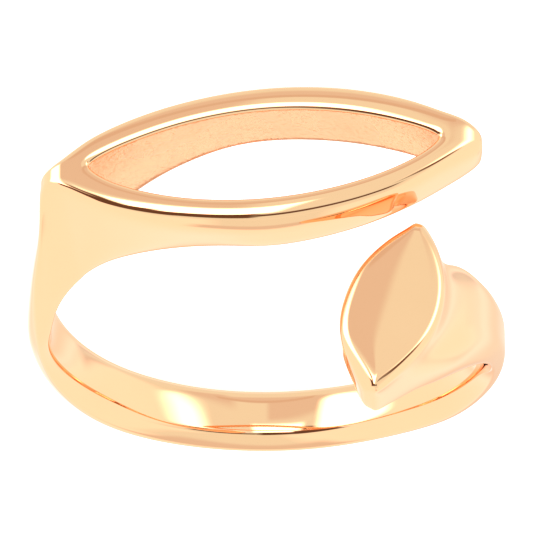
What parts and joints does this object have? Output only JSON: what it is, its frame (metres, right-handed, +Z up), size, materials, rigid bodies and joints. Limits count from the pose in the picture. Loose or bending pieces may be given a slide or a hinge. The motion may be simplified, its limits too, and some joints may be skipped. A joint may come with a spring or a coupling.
{
  "type": "gold-plated ring",
  "caption": "Open finger ring in one piece: a plain band rises into a long open marquise frame and sweeps forward on its other side into a small solid marquise.",
  "frame": {"origin": "centre of the finger hole", "axes": "The ring lies on its side as it rests on a table, +Z up. The finger hole leans 9.7 degrees from +Z. -Y points to the open marquise frame, +Y to the plain band behind the finger, -X to the arm with the solid marquise."},
  "size_m": [0.0194, 0.0216, 0.0126],
  "materials": {
    "gold": "polished warm gold plating, with a rough cast wall inside the frame"
  },
  "bodies": {
    "root": {"ring": "gold"}
  },
  "joints": []
}
